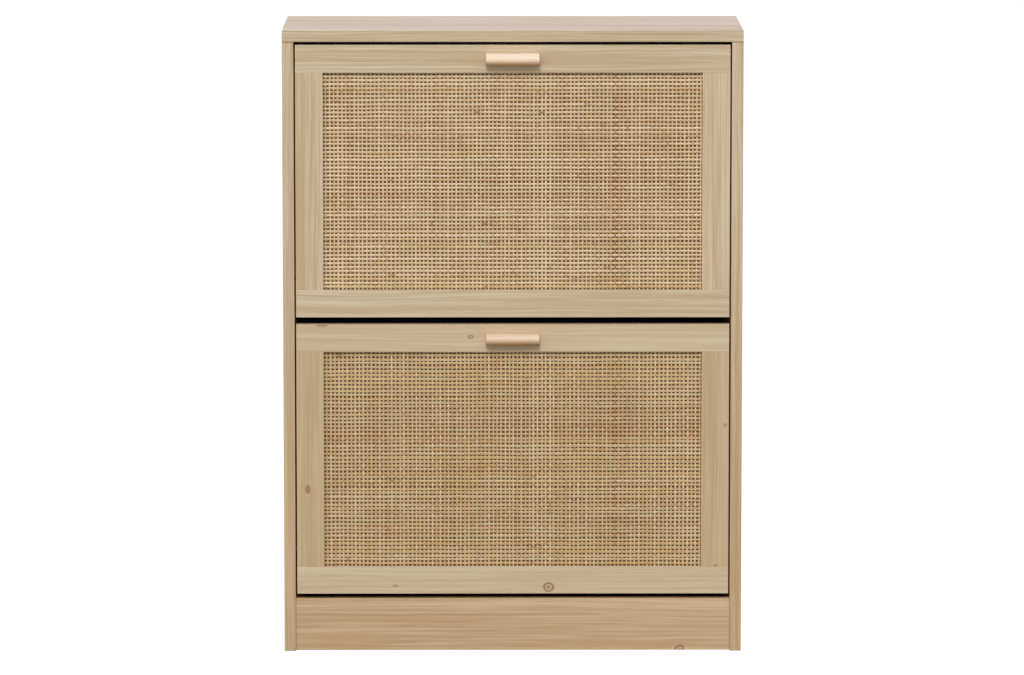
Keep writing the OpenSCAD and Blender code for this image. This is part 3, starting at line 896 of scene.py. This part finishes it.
def set_pins(node, material, head_t, shank_r, recess):
    """Replaces the screws or nails of a CAD node with modelled ones in the same places."""
    boxes = solids(node)
    low, high = boxes[0]
    pattern = headed_pin(node + "_pattern", (high.x - low.x) / 2, head_t, shank_r,
                         high.y - low.y - head_t, recess)
    copies = []
    for low, high in boxes:
        only(pattern)
        bpy.ops.object.duplicate()
        copy = bpy.context.object
        copy.location = ((low.x + high.x) / 2, high.y - head_t, (low.z + high.z) / 2)
        copies.append(copy)
    only(*copies)
    bpy.ops.object.join()
    piece = bpy.context.object
    piece.name = node + "_set"
    bpy.ops.object.transform_apply(location=True, rotation=True, scale=True)
    only(pattern)
    bpy.ops.object.delete()
    finish_piece(piece, body_of(node), material, slot_of(node), node)


class CABINET_OT_fasteners(bpy.types.Operator):
    """Models the screws and nails and gives all fasteners their plated or bare wood finish"""
    bl_idname = "shoe_cabinet.fasteners"
    bl_label = "Fasteners"

    def execute(self, context):
        inside = settings("inside")
        zinc = plated_steel("zinc_plate", inside.zinc[:], inside.zinc_dark[:])
        bare = wood("bare_beech", "X", settings("handle"), 31.0, streaks=0.2)
        for drawer in DRAWERS:
            set_pins(drawer + "_handle_screws", zinc, head_t=2.4 * MM, shank_r=2.0 * MM, recess=True)
            set_pins(drawer + "_bracket_screws", zinc, head_t=2.2 * MM, shank_r=1.75 * MM, recess=True)
        set_pins("back_panel_nails", zinc, head_t=0.6 * MM, shank_r=0.8 * MM, recess=False)
        bead_pins = [drawer + "_bead_pins" for drawer in DRAWERS]
        keep_nodes(["cam_locks", "cam_bolts", "stop_pins"] + bead_pins, zinc)
        keep_nodes(["dowels"] + [drawer + "_frame_dowels" for drawer in DRAWERS], bare)
        return {"FINISHED"}


# Stage

WHITE = (1.0, 1.0, 1.0)
SKY = (0.77, 0.79, 1.0)


def soft_light(name, towards, strength, spread, tone):
    """A far, wide light that shines evenly from the direction towards. Spread is in degrees."""
    light = bpy.data.lights.new(name, "SUN")
    light.energy = strength
    light.angle = math.radians(spread)
    light.color = tone
    lamp = bpy.data.objects.new(name, light)
    bpy.context.scene.collection.objects.link(lamp)
    lamp.rotation_euler = Vector(towards).to_track_quat("Z", "Y").to_euler()


class CABINET_OT_stage(bpy.types.Operator):
    """Lays the pale floor and places the soft lights and the camera"""
    bl_idname = "shoe_cabinet.stage"
    bl_label = "Stage"

    def execute(self, context):
        stage = settings("stage")
        bpy.ops.object.select_all(action="DESELECT")
        bpy.ops.mesh.primitive_plane_add(size=60, location=(0, 0, 0))
        floor = bpy.context.object
        floor.name = "floor"
        paper = Finish("floor_paper", 0.9, Specular_IOR_Level=0.1)
        paper.feed(paper.shader.inputs["Base Color"], stage.floor_tone[:])
        white = paper.node("ShaderNodeEmission", None, {"Color": WHITE, "Strength": 1.3})
        seen = paper.value("ShaderNodeLightPath")
        both = paper.node("ShaderNodeMixShader", None, {
            0: seen * stage.floor_glow, 1: paper.shader.outputs[0], 2: white.outputs[0]})
        paper.feed(paper.output.inputs["Surface"], both.outputs[0])
        dress(floor, paper.material)

        world = context.scene.world or bpy.data.worlds.new("studio")
        context.scene.world = world
        world.use_nodes = True
        background = world.node_tree.nodes["Background"]
        background.inputs["Color"].default_value = (0.97, 0.98, 1.0, 1.0)
        background.inputs["Strength"].default_value = 0.33
        soft_light("key_light", (-0.06, -1.0, 0.66), strength=1.35, spread=14, tone=WHITE)
        soft_light("front_light", (-0.12, -1.0, 0.6), strength=0.95, spread=80, tone=WHITE)
        soft_light("rear_light", (0.25, 0.7, 1.0), strength=2.0, spread=60, tone=SKY)

        front_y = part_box("left_side_panel")[0].y
        camera = bpy.data.cameras.new("camera")
        camera.lens = stage.lens
        camera.sensor_width = 36.0
        camera.clip_end = 100.0
        holder = bpy.data.objects.new("camera", camera)
        context.scene.collection.objects.link(holder)
        holder.location = (-stage.aside, front_y - stage.distance, stage.height)
        holder.rotation_euler = (math.pi / 2 - stage.pitch, 0, -stage.turn)
        context.scene.camera = holder
        context.scene.view_settings.view_transform = "Standard"
        context.scene.view_settings.look = "None"
        return {"FINISHED"}


class CABINET_PT_panel(bpy.types.Panel):
    """Lists the steps that build the cabinet's looks"""
    bl_idname = "CABINET_PT_panel"
    bl_label = "Cane shoe cabinet"
    bl_space_type = "VIEW_3D"
    bl_region_type = "UI"
    bl_category = "Cabinet"

    def draw(self, context):
        for operator in STEPS:
            self.layout.operator(operator.bl_idname, text=operator.bl_label)
        for name, group in GROUPS.items():
            box = self.layout.box()
            box.label(text=name.title())
            for key in group.__annotations__:
                box.prop(settings(name), key)


GROUPS = {"board": BoardSettings, "front": FrontSettings, "cane": CaneSettings,
          "handle": HandleSettings, "inside": InsideSettings, "stage": StageSettings}
STEPS = [CABINET_OT_stage, CABINET_OT_carcass_boards, CABINET_OT_front_frames, CABINET_OT_weave_cane,
         CABINET_OT_handles, CABINET_OT_drawer_insides, CABINET_OT_backs, CABINET_OT_fasteners]


def register():
    for group in GROUPS.values():
        bpy.utils.register_class(group)
    for operator in STEPS + [CABINET_PT_panel]:
        bpy.utils.register_class(operator)
    for name, group in GROUPS.items():
        setattr(bpy.types.Scene, "shoe_cabinet_" + name, bpy.props.PointerProperty(type=group))


def unregister():
    for name in GROUPS:
        delattr(bpy.types.Scene, "shoe_cabinet_" + name)
    for item in [CABINET_PT_panel] + STEPS + list(GROUPS.values()):
        bpy.utils.unregister_class(item)


def main():
    register()
    for operator in STEPS:
        group, name = operator.bl_idname.split(".")
        getattr(getattr(bpy.ops, group), name)()


if __name__ == "__main__":
    main()
